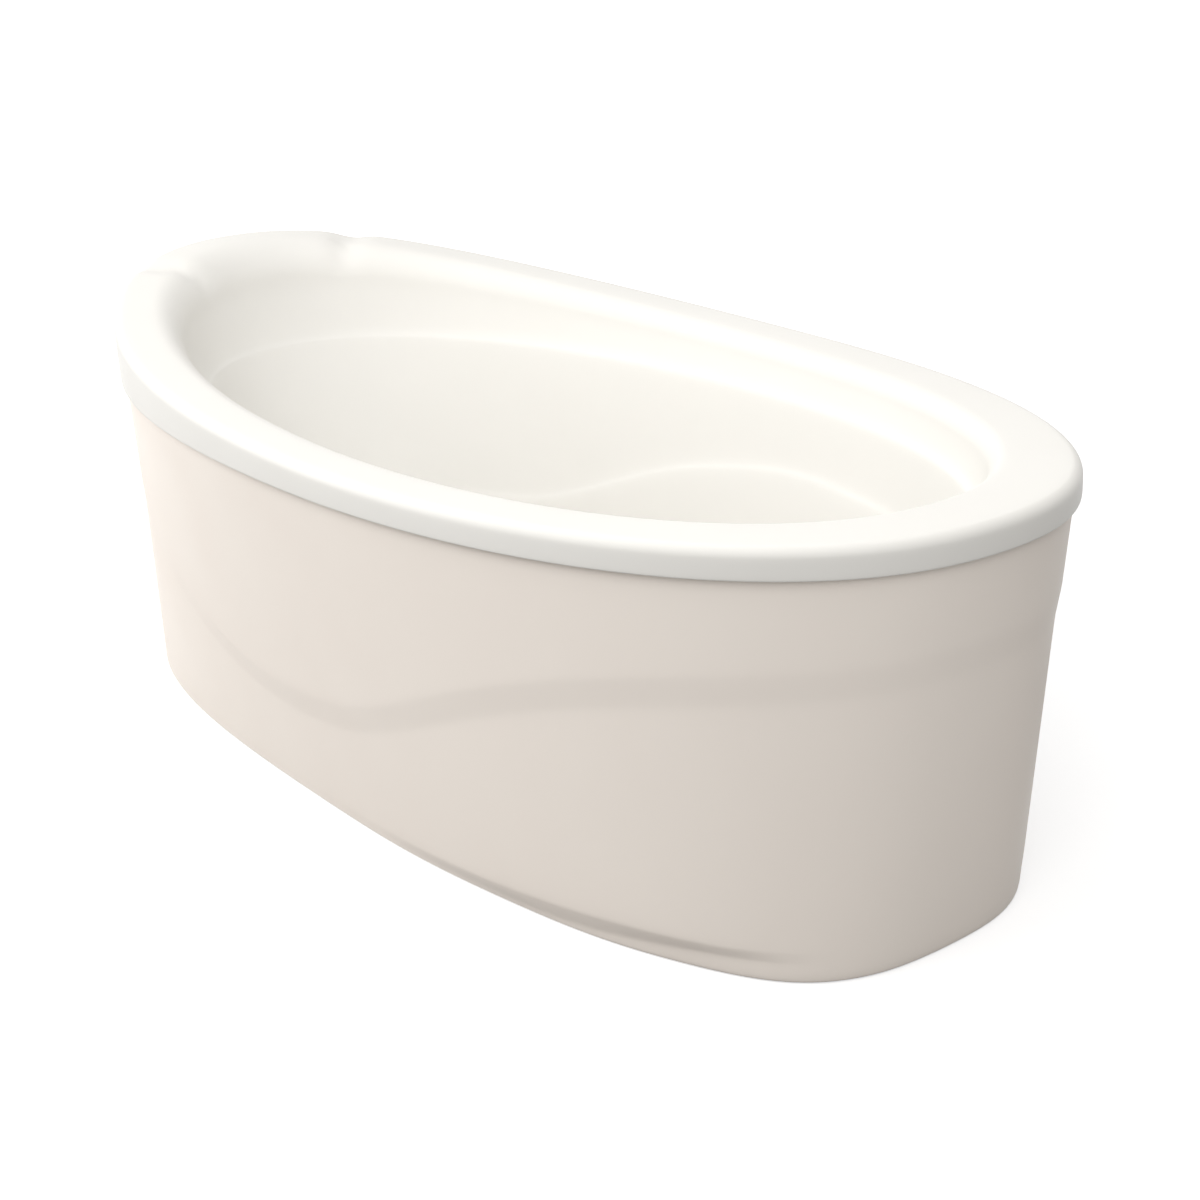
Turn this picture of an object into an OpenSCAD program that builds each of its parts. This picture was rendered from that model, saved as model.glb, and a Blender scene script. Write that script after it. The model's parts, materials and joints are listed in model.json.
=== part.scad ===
/* [Rim] */
// Length over the rim
tub_l = 1700; // [1500:10:1900]
// Width over the rim
tub_w = 870; // [780:10:960]
// Height of the rim at the toe end
rim_z = 520; // [500:5:600]
// Extra height of the rim at the head end
head_rise = 100; // [0:5:120]
// How far the rise is drawn back to the head end
rise_power = 3.6; // [2:0.1:5]
// Squareness of the rim outline, 2 is an ellipse
rim_square = 2.2; // [2:0.05:2.5]
// How much wider the outline is towards the toe end
egg = 0.04; // [0:0.01:0.08]
// Height of the rim's outer band at the toe end
band_h = 36; // [30:1:50]
// Radius of the rim's outer edge
edge_r = 14; // [10:1:18]
// Wall of the moulded shell
wall = 6; // [4:0.5:8]

/* [Neck rest] */
// Half width of the neck rest between its two grooves
rest_half_w = 195; // [150:5:230]
// Depth of each groove across the rim
groove_d = 14; // [4:1:18]
// Half width of each groove
groove_half_w = 46; // [30:1:60]

/* [Basin] */
// Height of the basin's floor
floor_z = 118; // [112:1:150]
// Radius between the basin's floor and its wall
fillet_r = 60; // [40:1:70]
// Squareness of the basin's outline
basin_square = 2.15; // [2.05:0.05:2.4]
// Height of the upper ledge that runs round the basin
ledge_z = 463; // [450:1:475]
// Width of the upper ledge
ledge_w = 10; // [6:1:14]
// Height of the arm line at the toe end
arm_high_z = 372; // [330:1:390]
// Height of the arm line at the head end
arm_low_z = 232; // [200:1:260]
// Step of the arm line into the basin
arm_step = 9; // [5:1:12]

/* [Apron] */
// Wall of the apron
apron_wall = 4; // [3:0.5:6]
// Height of the wave's crest at both ends
wave_high_z = 382; // [340:1:400]
// Depth of the wave's dip at the middle of each side
wave_dip = 214; // [100:1:230]
// How far the upper panel stands proud of the lower one
wave_proud = 4; // [2:0.5:5]
// Height of the slanted face under the wave
wave_face_h = 35; // [20:1:40]
// Height of the kick recess along the floor
kick_h = 36; // [20:1:50]
// Depth of the kick recess
kick_d = 12; // [6:1:16]

/* [Frame] */
// Side of the square tubes
tube_w = 30; // [25:1:35]
// Wall of the square tubes
tube_t = 2; // [1.5:0.5:3]
// Length of the two long rails
rail_l = 830; // [760:10:900]
// Distance from the middle to each long rail
rail_y = 200; // [160:5:215]
// Thickness of the board under the floor
board_t = 15; // [12:1:18]
// Length of the board under the floor
board_l = 800; // [740:10:820]
// Width of the board under the floor
board_w = 330; // [280:5:350]
// Diameter of the levelling studs
stud_d = 10; // [8:1:12]
// Diameter of the levelling pads
pad_d = 48; // [36:1:60]
// Height of the levelling pads
pad_h = 12; // [8:1:14]
// Clearance of a stud in its thread, on the radius
thread_gap = 0.06; // [0.02:0.01:0.1]

/* [Waste] */
// Distance of the drain from the middle of the tub
drain_x = 480; // [465:1:495]
// Outer diameter of the drain's flange
flange_d = 70; // [66:1:76]
// Bore of the drain's flange
drain_d = 44; // [42:1:48]
// Thickness of the drain's flange
flange_t = 3; // [2.5:0.5:4]
// Lift of the plug
plug_lift = 10; // [8:0.5:11]
// Diameter of the plug's stem
stem_d = 8; // [7:0.5:9]
// Diameter of the overflow's knob
knob_d = 62; // [54:1:66]
// Height of the middle of the overflow
overflow_z = 412; // [408:1:416]
// Outer diameter of the waste pipe
pipe_d = 40; // [36:1:42]
// Wall of the waste pipe
pipe_t = 2; // [1.5:0.5:3]
// Outer diameter of the overflow's hose over its ribs
hose_d = 28; // [24:1:30]
// Pitch of the hose's ribs
rib_pitch = 9; // [8:1:12]
// Thickness of the gaskets
gasket_t = 2; // [1.5:0.5:2.5]

/* [Hidden] */
$fn = 48;
// Small gap between pieces that seat on each other
seat_gap = 0.2;
// Running gap of a turning or sliding piece, on the radius
run_gap = 0.06;
steps = 88;
crowd = 23;
half_l = tub_l / 2;
half_w = tub_w / 2;
band_z = rim_z - band_h;
// Every inset is a triple: at the toe end, at the sides and at the head end
even = [1, 1, 1];
rim_flat = [86, 55, 40];
roll_in = [20, 34, 90];
roll_share = 0.5;
rim_fall = 2;
ledge_in = [112, 100, 165];
ledge_fall = 3;
under_ledge = 12;
wall_bottom = [192, 173, 360];
pad_share = 0.988;
drain_flat_r = 60;
apron_top_in = [12, 12, 12];
base_in = [63, 86, 14];
base_square = 2.82;
base_egg = -0.058;
wave_turn = 92;
// Reach of the wave's slopes: towards the toe end and towards the head end
wave_spread = [28, 33];
wave_power = 1.6;
groove_lean = 0.8;
groove_from_end = 70;
groove_x = groove_from_end - half_l;

// Outlines and heights

function signed_pow(v, p) = sign(v) * pow(abs(v), p);

function outline(t, toe, side, head, square, wide) = [
    (cos(t) > 0 ? toe : head) * signed_pow(cos(t), 2 / square),
    side * signed_pow(sin(t), 2 / square) * (1 + wide * cos(t))
];

function inset_point(t, inset, square) =
    outline(t, half_l - inset[0], half_w - inset[1], half_l - inset[2], square, egg);

function outward(t, square) =
    let (x = signed_pow(cos(t), 2 - 2 / square) / half_l,
         y = signed_pow(sin(t), 2 - 2 / square) / half_w)
    [x, y] / norm([x, y]);

function angle_at(i) = let (u = 360 * i / steps) u + crowd * sin(u);

function folded(t) = t > 180 ? 360 - t : t;

function ease(v) = let (c = max(0, min(1, v))) c * c * (3 - 2 * c);

function mix(a, b, share) = a + (b - a) * share;

function rim_top(t) =
    rim_z + head_rise * pow((1 - signed_pow(cos(t), 2 / rim_square)) / 2, rise_power);

function groove(p) =
    p[0] > 0 ? 0 :
    let (line_y = rest_half_w - groove_lean * (p[0] - groove_x),
         off = abs(abs(p[1]) - line_y) / groove_half_w)
    groove_d * pow(1 - min(1, off), 2);

function arm_z(t) = mix(arm_high_z, arm_low_z, ease((folded(t) - 70) / 60));

// Height where the wall below the ledge starts, and where the floor's fillet starts
wall_top_z = ledge_z - under_ledge;
wall_low_z = floor_z + fillet_r;
wall_top_in = ledge_in + even * (ledge_w + 3);

function wall_in(z) =
    mix(wall_top_in, wall_bottom, (wall_top_z - z) / (wall_top_z - wall_low_z));

// A point of the shell. The groove share says how much of the neck grooves it takes.
function rim_point(t, inset, square, down, share) =
    let (p = inset_point(t, inset, square))
    [p[0], p[1], rim_top(t) - down - share * groove(p)];

function flat_point(t, inset, z) =
    let (p = inset_point(t, inset, basin_square),
         most = (half_l - inset[0]) * pad_share)
    [min(p[0], most), p[1], z];

function basin_point(t, inset, z) =
    let (p = inset_point(t, inset, basin_square)) [p[0], p[1], z];

function floor_point(t, share, z) =
    let (p = inset_point(t, wall_bottom + even * fillet_r, basin_square),
         q = [drain_x + drain_flat_r * cos(t), drain_flat_r * sin(t)])
    [mix(q[0], p[0], share), mix(q[1], p[1], share), z];

function roll_down(t, a) =
    rim_fall + (rim_top(t) - rim_fall - ledge_z) * roll_share * (1 - cos(a));

// One section of the shell, from the drain out over the rim and back underneath
function shell_section(t) =
    let (
        arm = arm_z(t),
        arm_in = wall_in(arm + 4),
        low_in = wall_in(arm) + even * arm_step,
        low_end = wall_bottom + even * 2,
        mid_z = (arm + wall_top_z) / 2
    )
    concat(
        [floor_point(t, 0, floor_z), floor_point(t, 0.5, floor_z + 1.5)],
        [for (a = [90:-30:0])
            basin_point(t, low_end + even * fillet_r * (1 - cos(a)),
                        floor_z + 3 * sin(a) + fillet_r * (1 - sin(a)))],
        [basin_point(t, low_in, arm - 8),
         flat_point(t, arm_in + even * 4, arm),
         flat_point(t, arm_in, arm + 4),
         flat_point(t, wall_top_in, wall_top_z),
         flat_point(t, ledge_in + even * ledge_w, ledge_z - ledge_fall),
         basin_point(t, ledge_in, ledge_z)],
        [for (a = [90:-22.5:0])
            rim_point(t, rim_flat + roll_in * sin(a), basin_square,
                      roll_down(t, a), 1 - 0.7 * (1 - cos(a)))],
        [for (a = [90:-22.5:0])
            rim_point(t, even * edge_r * (1 - cos(a)), rim_square, edge_r * (1 - sin(a)), sin(a))],
        [let (p = inset_point(t, even * 0, rim_square)) [p[0], p[1], band_z],
         let (p = inset_point(t, even * wall, rim_square)) [p[0], p[1], band_z]],
        [for (a = [0:30:90])
            rim_point(t, even * (edge_r - (edge_r - wall) * cos(a)), rim_square,
                      edge_r - (edge_r - wall) * sin(a), sin(a))],
        [for (a = [0:30:90])
            rim_point(t, rim_flat + (roll_in - even * wall) * sin(a), basin_square,
                      roll_down(t, a) + wall * cos(a), 1 - 0.7 * (1 - cos(a)))],
        [basin_point(t, ledge_in - even * wall, ledge_z - wall / 2),
         flat_point(t, wall_in(wall_top_z - wall) - even * wall, wall_top_z - wall),
         flat_point(t, wall_in(arm + 2) - even * wall, arm + 2),
         basin_point(t, low_in - even * wall, arm - 10)],
        [for (a = [0:30:90])
            basin_point(t, low_end + even * (fillet_r - (fillet_r + wall) * cos(a)),
                        floor_z + fillet_r - (fillet_r + wall) * sin(a))],
        [floor_point(t, 0.5, floor_z - wall), floor_point(t, 0, floor_z - wall)]
    );

// A closed skin through equal sections set round the tub
module skin(sections, poles) {
    n = len(sections);
    m = len(sections[0]);
    points = concat([for (s = sections) each s], poles);
    last = len(poles) == 2 ? m - 2 : m - 1;
    sides = [for (i = [0:n - 1], j = [0:last])
        let (a = i * m + j, b = i * m + (j + 1) % m,
             k = ((i + 1) % n) * m, c = k + (j + 1) % m, d = k + j)
        each [[a, c, b], [a, d, c]]];
    caps = len(poles) == 2 ? [for (i = [0:n - 1])
        let (a = i * m, d = ((i + 1) % n) * m)
        each [[n * m, d, a], [n * m + 1, a + m - 1, d + m - 1]]] : [];
    polyhedron(points = points, faces = concat(sides, caps), convexity = 10);
}

// Place of the overflow on the flat of the toe wall
wall_lean = atan2((wall_bottom[0] - wall_top_in[0]) * pad_share, wall_top_z - wall_low_z);
overflow_x = (half_l - wall_in(overflow_z)[0]) * pad_share;
wall_across = wall * pad_share * cos(wall_lean);
overflow_hole_r = 26;

module at_overflow() {
    translate([overflow_x, 0, overflow_z])
        rotate([0, wall_lean - 90, 0])
            children();
}

// Heights of the drain's parts, from the floor down
recess = 2;
seat_z = floor_z - recess;
under_z = floor_z - wall;
flange_z = seat_z + gasket_t;
flange_top_z = flange_z + flange_t;
body_top_z = under_z - gasket_t;
drain_hole_r = drain_d / 2 + 4;

module tub_shell() {
    color("#F7F4F0")
    difference() {
        skin([for (i = [0:steps - 1]) shell_section(angle_at(i))],
             [[drain_x, 0, floor_z], [drain_x, 0, floor_z - wall]]);
        translate([drain_x, 0, under_z - 1])
            cylinder(r = drain_hole_r, h = wall + 2);
        translate([drain_x, 0, seat_z])
            cylinder(d = flange_d + 1, h = wall);
        at_overflow()
            translate([0, 0, -wall_across - 4])
                cylinder(r = overflow_hole_r, h = wall_across + 8);
    }
}

// Apron

function wave_z(t) =
    let (off = folded(t) - wave_turn,
         spread = off < 0 ? wave_spread[0] : wave_spread[1])
    wave_high_z - wave_dip * exp(-pow(abs(off) / spread, wave_power));

// Share of the wave's step: whole at the sides, less at both ends
function wave_share(t) =
    mix(0.65, 1, ease(folded(t) / 60)) * (1 - 0.6 * ease((folded(t) - wave_turn) / 28));

function wave_face(t) = wave_face_h * mix(0.6, 1, wave_share(t));

function kick_share(t) =
    ease((folded(t) - 16) / 22) * ease((86 - folded(t)) / 24);

function kick_z(t) = 8 + (kick_h - 8) * kick_share(t);

function apron_point(t, z, out) =
    let (
        top = inset_point(t, apron_top_in, rim_square),
        base = outline(t, half_l - base_in[0], half_w - base_in[1], half_l - base_in[2],
                       base_square, base_egg),
        share = max(0, (band_z - z) / band_z),
        p = mix(top, base, share) + outward(t, rim_square) * out
    )
    [p[0], p[1], z];

function apron_top_z(t) =
    rim_top(t) - groove(apron_point(t, rim_z, 0)) - edge_r + (edge_r - wall) * 0.62 - 0.6;

function apron_levels(t) =
    let (w = wave_z(t), f = w - wave_face(t), k = kick_z(t), s = wave_proud * wave_share(t))
    [
        [apron_top_z(t), wave_proud],
        [band_z, wave_proud],
        [(band_z + w) / 2, (wave_proud + s) / 2],
        [w, s],
        [f, 0],
        [(f + k) / 2, 0],
        [k, 0],
        [k - 5, -kick_d * kick_share(t)],
        [0, -kick_d * kick_share(t)]
    ];

function apron_section(t) =
    let (levels = apron_levels(t), n = len(levels))
    concat(
        [for (j = [0:n - 1]) apron_point(t, levels[j][0], levels[j][1])],
        [for (j = [n - 1:-1:0]) apron_point(t, levels[j][0], levels[j][1] - apron_wall)]
    );

module apron() {
    color("#E6E0DA")
    skin([for (i = [0:steps - 1]) apron_section(angle_at(i))], []);
}

// Blocks, brackets and screws that hold the apron under the rim

// Turn of each block, and the gap at the middle of its bracket's upright leg. The legs are
// flat and the apron bends, so their edges come nearer to it.
block_gaps = [[28, 1.7], [62, 1.35], [96, 1], [120, 0.65], [138, 0.85]];
block_turns = [for (g = block_gaps) each [g[0], 360 - g[0]]];
block_in = 17;
block_w = 40;
block_h = 26;
block_gap = 0.5;
bracket_t = 2;
bracket_w = 30;
bracket_drop = 26;
screw_d = 4;

// Underside of the rim's flat: at its crown and where the roll into the basin begins
function crown_under(t) = rim_point(t, even * edge_r, rim_square, wall, 1);

function roll_under(t) = rim_point(t, rim_flat, basin_square, rim_fall + wall, 1);

function flat_of(p) = [p[0], p[1]];

// Inset of a bracket's upright leg, just inside the apron's wall at the leg's lower end
function leg_inset(t) =
    let (low_z = crown_under(t)[2] - block_h - bracket_drop,
         b = apron_point(t, low_z, wave_proud - apron_wall))
    outward(t, rim_square) * (inset_point(t, even * 0, rim_square) - flat_of(b))
    + lookup(folded(t), block_gaps);

// Slope of the rim's underside along the rim, and its slope inwards
function slope_on(t) =
    let (d = crown_under(t + 4) - crown_under(t - 4)) d[2] / norm(flat_of(d));

function slope_in(t) =
    let (n = outward(t, rim_square), d = roll_under(t) - crown_under(t))
    (d[2] - slope_on(t) * (flat_of(d) * [-n[1], n[0]])) / -(flat_of(d) * n);

// Puts its children just under the rim: +X points out, and the origin is at the
// bracket's upright leg
module at_rim(t) {
    n = outward(t, rim_square);
    c = crown_under(t);
    inside = leg_inset(t) - n * (inset_point(t, even * 0, rim_square) - flat_of(c));
    translate([c[0], c[1], c[2] + slope_in(t) * inside - block_gap])
        rotate([0, 0, atan2(n[1], n[0])])
            translate([-inside, 0, 0])
                children();
}

module rim_blocks() {
    color("#C9A877")
    for (t = block_turns)
        at_rim(t)
            difference() {
                translate([-block_in - bracket_t, -block_w / 2, -block_h])
                    cube([block_in, block_w, 2 * block_h]);
                rotate([atan(slope_on(t)), atan(slope_in(t)), 0])
                    translate([-block_w, -block_w, 0])
                        cube([2 * block_w, 2 * block_w, 2 * block_h]);
                translate([-block_in / 2 - bracket_t, 0, -block_h - 1])
                    cylinder(d = screw_d + 0.1, h = 15);
            }
}

module apron_brackets() {
    color("#AEB2B5")
    for (t = block_turns)
        at_rim(t)
            difference() {
                translate([0, 0, -block_h - bracket_t])
                    union() {
                        translate([-block_in - bracket_t, -bracket_w / 2, 0])
                            cube([block_in + bracket_t, bracket_w, bracket_t]);
                        translate([-bracket_t, -bracket_w / 2, -bracket_drop + bracket_t])
                            cube([bracket_t, bracket_w, bracket_drop]);
                    }
                translate([-block_in / 2 - bracket_t, 0, -block_h - bracket_t - 1])
                    cylinder(d = screw_d + 0.4, h = bracket_t + 2);
            }
}

module apron_screws() {
    color("#C9CBCC")
    for (t = block_turns)
        at_rim(t)
            translate([-block_in / 2 - bracket_t, 0, -block_h - bracket_t])
                pan_screw(screw_d, 15);
}

// A screw that points up, with its head's seat at the origin
module pan_screw(d, length) {
    cylinder(d = d, h = length);
    translate([0, 0, -0.6 * d])
        cylinder(d1 = 1.5 * d, d2 = 2 * d, h = 0.6 * d);
}

// Frame

board_z = under_z - board_t;
cross_z = board_z - tube_w;
rail_z = cross_z - tube_w;
frame_mid = -15;
rail_end = rail_l / 2;
leg_from_end = 30;
cross_from_end = 90;
cross_under_board = 75;
cross_reach = min(rail_end - cross_from_end, board_l / 2 - cross_under_board);
cross_x = [frame_mid - cross_reach, frame_mid, frame_mid + cross_reach];
leg_x = [frame_mid - rail_end + leg_from_end, frame_mid + 60, frame_mid + rail_end - leg_from_end];
cross_l = 2 * rail_y + tube_w;
bolt_d = 8;
bolt_hole_d = bolt_d + 0.6;
board_screw_d = 5;
board_screw_y = rail_y / 2;
nut_h = 0.8 * stud_d;
cap_t = 2.5;
cap_plug = 8;

// A square tube along X, centred on the origin
module square_tube(length) {
    difference() {
        cube([length, tube_w, tube_w], center = true);
        cube([length + 2, tube_w - 2 * tube_t, tube_w - 2 * tube_t], center = true);
    }
}

module hex_nut(across, h, hole_d) {
    difference() {
        cylinder(d = across / cos(30), h = h, $fn = 6);
        translate([0, 0, -1])
            cylinder(d = hole_d, h = h + 2, $fn = 48);
    }
}

module base_board() {
    corner = 40;
    color("#D8C29A")
    difference() {
        translate([frame_mid, 0, board_z])
            linear_extrude(board_t)
                union() {
                    square([board_l - 2 * corner, board_w], center = true);
                    square([board_l, board_w - 2 * corner], center = true);
                    for (x = [-1, 1], y = [-1, 1])
                        translate([x * (board_l / 2 - corner), y * (board_w / 2 - corner)])
                            circle(r = corner);
                }
        for (x = cross_x, y = [-board_screw_y, board_screw_y])
            translate([x, y, board_z - 1])
                cylinder(d = board_screw_d + 0.1, h = 11);
    }
}

module board_screws() {
    color("#C9CBCC")
    for (x = cross_x, y = [-board_screw_y, board_screw_y])
        translate([x, y, cross_z])
            pan_screw(board_screw_d, tube_w + 10);
}

module rail(side) {
    color("#5B6065")
    difference() {
        translate([frame_mid, side * rail_y, rail_z + tube_w / 2])
            square_tube(rail_l);
        for (x = leg_x)
            translate([x, side * rail_y, rail_z - 1])
                cylinder(d = stud_d + 1, h = tube_t + 2);
        for (x = cross_x)
            translate([x, side * rail_y, rail_z - 1])
                cylinder(d = bolt_hole_d, h = tube_w + 2);
    }
}

module rail_near() { rail(-1); }

module rail_far() { rail(1); }

module crossbar(x) {
    color("#5B6065")
    difference() {
        translate([x, 0, cross_z + tube_w / 2])
            rotate([0, 0, 90])
                square_tube(cross_l);
        for (y = [-rail_y, rail_y])
            translate([x, y, cross_z - 1])
                cylinder(d = bolt_hole_d, h = tube_t + 2);
        for (y = [-board_screw_y, board_screw_y])
            translate([x, y, cross_z - 1])
                cylinder(d = board_screw_d + 0.4, h = tube_w + 2);
    }
}

module crossbar_head() { crossbar(cross_x[0]); }

module crossbar_middle() { crossbar(cross_x[1]); }

module crossbar_toe() { crossbar(cross_x[2]); }

module frame_bolts() {
    color("#B9BCBE")
    for (x = cross_x, y = [-rail_y, rail_y])
        translate([x, y, rail_z]) {
            cylinder(d = bolt_d, h = tube_w + tube_t + 9);
            translate([0, 0, -5.3])
                cylinder(d = 13 / cos(30), h = 5.3, $fn = 6);
        }
}

module frame_nuts() {
    color("#B9BCBE")
    for (x = cross_x, y = [-rail_y, rail_y])
        translate([x, y, cross_z + tube_t])
            hex_nut(13, 6.5, bolt_d + 2 * thread_gap);
}

// A cap pushed into the end of a square tube, its flange at the origin and its plug along -X
module tube_cap() {
    hole = tube_w - 2 * tube_t - 2 * seat_gap;
    translate([0, -tube_w / 2, -tube_w / 2])
        cube([cap_t, tube_w, tube_w]);
    translate([-cap_plug, -hole / 2, -hole / 2])
        cube([cap_plug, hole, hole]);
}

module tube_caps() {
    color("#2E3033") {
        for (side = [-1, 1], y = [-rail_y, rail_y])
            translate([frame_mid + side * rail_end, y, rail_z + tube_w / 2])
                rotate([0, 0, side > 0 ? 0 : 180])
                    tube_cap();
        for (x = cross_x, side = [-1, 1])
            translate([x, side * cross_l / 2, cross_z + tube_w / 2])
                rotate([0, 0, 90 * side])
                    tube_cap();
    }
}

module leg_inserts() {
    color("#B9BCBE")
    for (x = leg_x, y = [-rail_y, rail_y])
        translate([x, y, rail_z + tube_t])
            hex_nut(1.7 * stud_d, nut_h, stud_d + 2 * thread_gap);
}

module leg_lock_nuts() {
    color("#B9BCBE")
    for (x = leg_x, y = [-rail_y, rail_y])
        translate([x, y, rail_z - nut_h])
            hex_nut(1.7 * stud_d, nut_h, stud_d + 2 * thread_gap);
}

stud_top = rail_z + tube_w - tube_t - 5;
stud_foot = pad_h / 2;

module leg_stud(x, side) {
    color("#C4C7C9")
    translate([x, side * rail_y, 0]) {
        translate([0, 0, stud_foot])
            cylinder(d = stud_d, h = stud_top - stud_foot);
        translate([0, 0, pad_h])
            cylinder(d = 1.5 * stud_d / cos(30), h = 5, $fn = 6);
    }
}

module leg_pad(x, side) {
    color("#2E3033")
    translate([x, side * rail_y, 0])
        difference() {
            rotate_extrude()
                polygon([[0, 0], [pad_d / 2, 0], [pad_d / 2, 4], [stud_d, pad_h], [0, pad_h]]);
            translate([0, 0, stud_foot])
                cylinder(d = stud_d + 2 * seat_gap, h = pad_h);
        }
}

module leg_stud_head_near() { leg_stud(leg_x[0], -1); }

module leg_stud_head_far() { leg_stud(leg_x[0], 1); }

module leg_stud_middle_near() { leg_stud(leg_x[1], -1); }

module leg_stud_middle_far() { leg_stud(leg_x[1], 1); }

module leg_stud_toe_near() { leg_stud(leg_x[2], -1); }

module leg_stud_toe_far() { leg_stud(leg_x[2], 1); }

module leg_pad_head_near() { leg_pad(leg_x[0], -1); }

module leg_pad_head_far() { leg_pad(leg_x[0], 1); }

module leg_pad_middle_near() { leg_pad(leg_x[1], -1); }

module leg_pad_middle_far() { leg_pad(leg_x[1], 1); }

module leg_pad_toe_near() { leg_pad(leg_x[2], -1); }

module leg_pad_toe_far() { leg_pad(leg_x[2], 1); }

// Drain

neck_r = drain_hole_r - 1;
neck_h = 24;
hub_r = stem_d / 2 + 4;
hub_h = 8;
hub_z = flange_z - 12;
chamber_r = neck_r + 4;
chamber_top = flange_z - neck_h;
chamber_z = chamber_top - 16;
body_floor = 4;
body_out_r = 18;
body_low_z = chamber_z - 12;
inlet_z = chamber_z + 9;
inlet_r = 12;
inlet_bore_r = 7.5;
inlet_end = 62;
gland_y = 23;
gland_r = 5;
gland_end = 46;
cable_d = 5;
lifter_arm = 20;
lifter_t = 3;
lifter_z = chamber_z + 4;
lifter_gap = 0.5;
pin_d = 4;

module ring(outer_r, inner_r, z, h) {
    translate([0, 0, z])
        difference() {
            cylinder(r = outer_r, h = h);
            translate([0, 0, -1])
                cylinder(r = inner_r, h = h + 2);
        }
}

module at_drain() { translate([drain_x, 0, 0]) children(); }

module drain_flange() {
    color("#C8CBCD")
    at_drain() {
        difference() {
            union() {
                translate([0, 0, flange_z])
                    cylinder(d = flange_d, h = flange_t);
                translate([0, 0, flange_z - neck_h])
                    cylinder(r = neck_r, h = neck_h + 1);
            }
            translate([0, 0, flange_z - neck_h - 1])
                cylinder(d = drain_d, h = neck_h + flange_t + 2);
            translate([0, 0, flange_top_z - 1.5])
                cylinder(d1 = drain_d, d2 = drain_d + 3.2, h = 1.6);
        }
        difference() {
            union() {
                translate([0, 0, hub_z])
                    cylinder(r = hub_r, h = hub_h);
                for (a = [0:90:90])
                    rotate([0, 0, a + 45])
                        translate([-drain_d / 2 - 0.5, -1.5, hub_z + 2])
                            cube([drain_d + 1, 3, hub_h - 3]);
            }
            translate([0, 0, hub_z - 1])
                cylinder(d = stem_d + 2 * run_gap, h = hub_h + 2);
        }
    }
}

module drain_gasket_upper() {
    color("#26282A")
    at_drain() ring(flange_d / 2 - 1, drain_hole_r + 0.5, seat_z, gasket_t);
}

module drain_gasket_lower() {
    color("#26282A")
    at_drain() ring(chamber_r + 9, drain_hole_r + 0.5, body_top_z, gasket_t);
}

module drain_body() {
    color("#3A3D40")
    at_drain()
        difference() {
            union() {
                translate([0, 0, body_top_z - 5])
                    cylinder(r = chamber_r + 12, h = 5);
                translate([0, 0, chamber_z - body_floor])
                    cylinder(r = chamber_r + 4, h = body_top_z - chamber_z + body_floor);
                translate([0, 0, body_low_z])
                    cylinder(r = body_out_r, h = 10);
                translate([chamber_r, 0, inlet_z])
                    rotate([0, 90, 0])
                        cylinder(r = inlet_r, h = inlet_end - chamber_r);
                translate([chamber_r - 10, gland_y, inlet_z])
                    rotate([0, 90, 0])
                        cylinder(r = gland_r, h = gland_end - chamber_r + 10);
            }
            translate([0, 0, chamber_top])
                cylinder(r = neck_r + seat_gap, h = neck_h);
            translate([0, 0, chamber_z])
                cylinder(r = chamber_r, h = chamber_top - chamber_z + 0.01);
            translate([0, 0, body_low_z - 1])
                cylinder(r = body_out_r - 3, h = 20);
            translate([chamber_r - 3, 0, inlet_z])
                rotate([0, 90, 0])
                    cylinder(r = inlet_bore_r, h = inlet_end);
            translate([chamber_r - 12, gland_y, inlet_z])
                rotate([0, 90, 0])
                    cylinder(r = 1.2, h = gland_end);
            translate([lifter_arm, 0, lifter_z])
                rotate([90, 0, 0])
                    cylinder(d = pin_d + 0.1, h = 2 * chamber_r - 8, center = true);
        }
}

plug_r = flange_d / 2 - 4;
plug_z = flange_top_z + 0.3;
plug_edge = 2.5;
plug_crown = 3;
collar_r = drain_d / 2 - 5;
collar_h = 6;
seal_r = 2;
seal_z = plug_z - 2.6;
stem_low = lifter_z + lifter_t / 2 + lifter_gap;
stem_tip_h = 4;

module drain_plug() {
    color("#D0D3D5")
    at_drain()
        difference() {
            rotate_extrude()
                polygon(concat(
                    [[0, plug_z - collar_h], [collar_r, plug_z - collar_h], [collar_r, plug_z],
                     [plug_r, plug_z], [plug_r, plug_z + plug_edge]],
                    [for (a = [10:10:90])
                        [plug_r * cos(a), plug_z + plug_edge + plug_crown * sin(a)]]));
            translate([0, 0, seal_z])
                rotate_extrude()
                    translate([collar_r + 0.4, 0])
                        circle(r = seal_r + 0.02, $fn = 24);
            translate([0, 0, plug_z - collar_h - 1])
                cylinder(d = stem_d + 0.1, h = collar_h + 2.5);
        }
}

module plug_seal() {
    color("#26282A")
    at_drain()
        translate([0, 0, seal_z])
            rotate_extrude()
                translate([collar_r + 0.4, 0])
                    circle(r = seal_r, $fn = 24);
}

module plug_stem() {
    color("#B8BBBD")
    at_drain()
        rotate_extrude()
            polygon([[0, stem_low], [0.8, stem_low], [stem_d / 2, stem_low + stem_tip_h],
                     [stem_d / 2, plug_z + 1.4], [0, plug_z + 1.4]]);
}

module plug_lifter() {
    color("#8C9094")
    at_drain()
        translate([lifter_arm, 0, lifter_z])
            difference() {
                union() {
                    translate([-lifter_arm - 3, -4, -lifter_t / 2])
                        cube([lifter_arm + 3, 8, lifter_t]);
                    rotate([90, 0, 0])
                        cylinder(r = 3.6, h = 12, center = true);
                }
                rotate([90, 0, 0])
                    cylinder(d = pin_d + 2 * run_gap, h = 20, center = true);
            }
}

module lifter_pin() {
    color("#B8BBBD")
    at_drain()
        translate([lifter_arm, 0, lifter_z])
            rotate([90, 0, 0])
                cylinder(d = pin_d, h = 2 * chamber_r - 10, center = true);
}

// Overflow, drawn with the basin's wall at the origin and +Z into the basin

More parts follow.
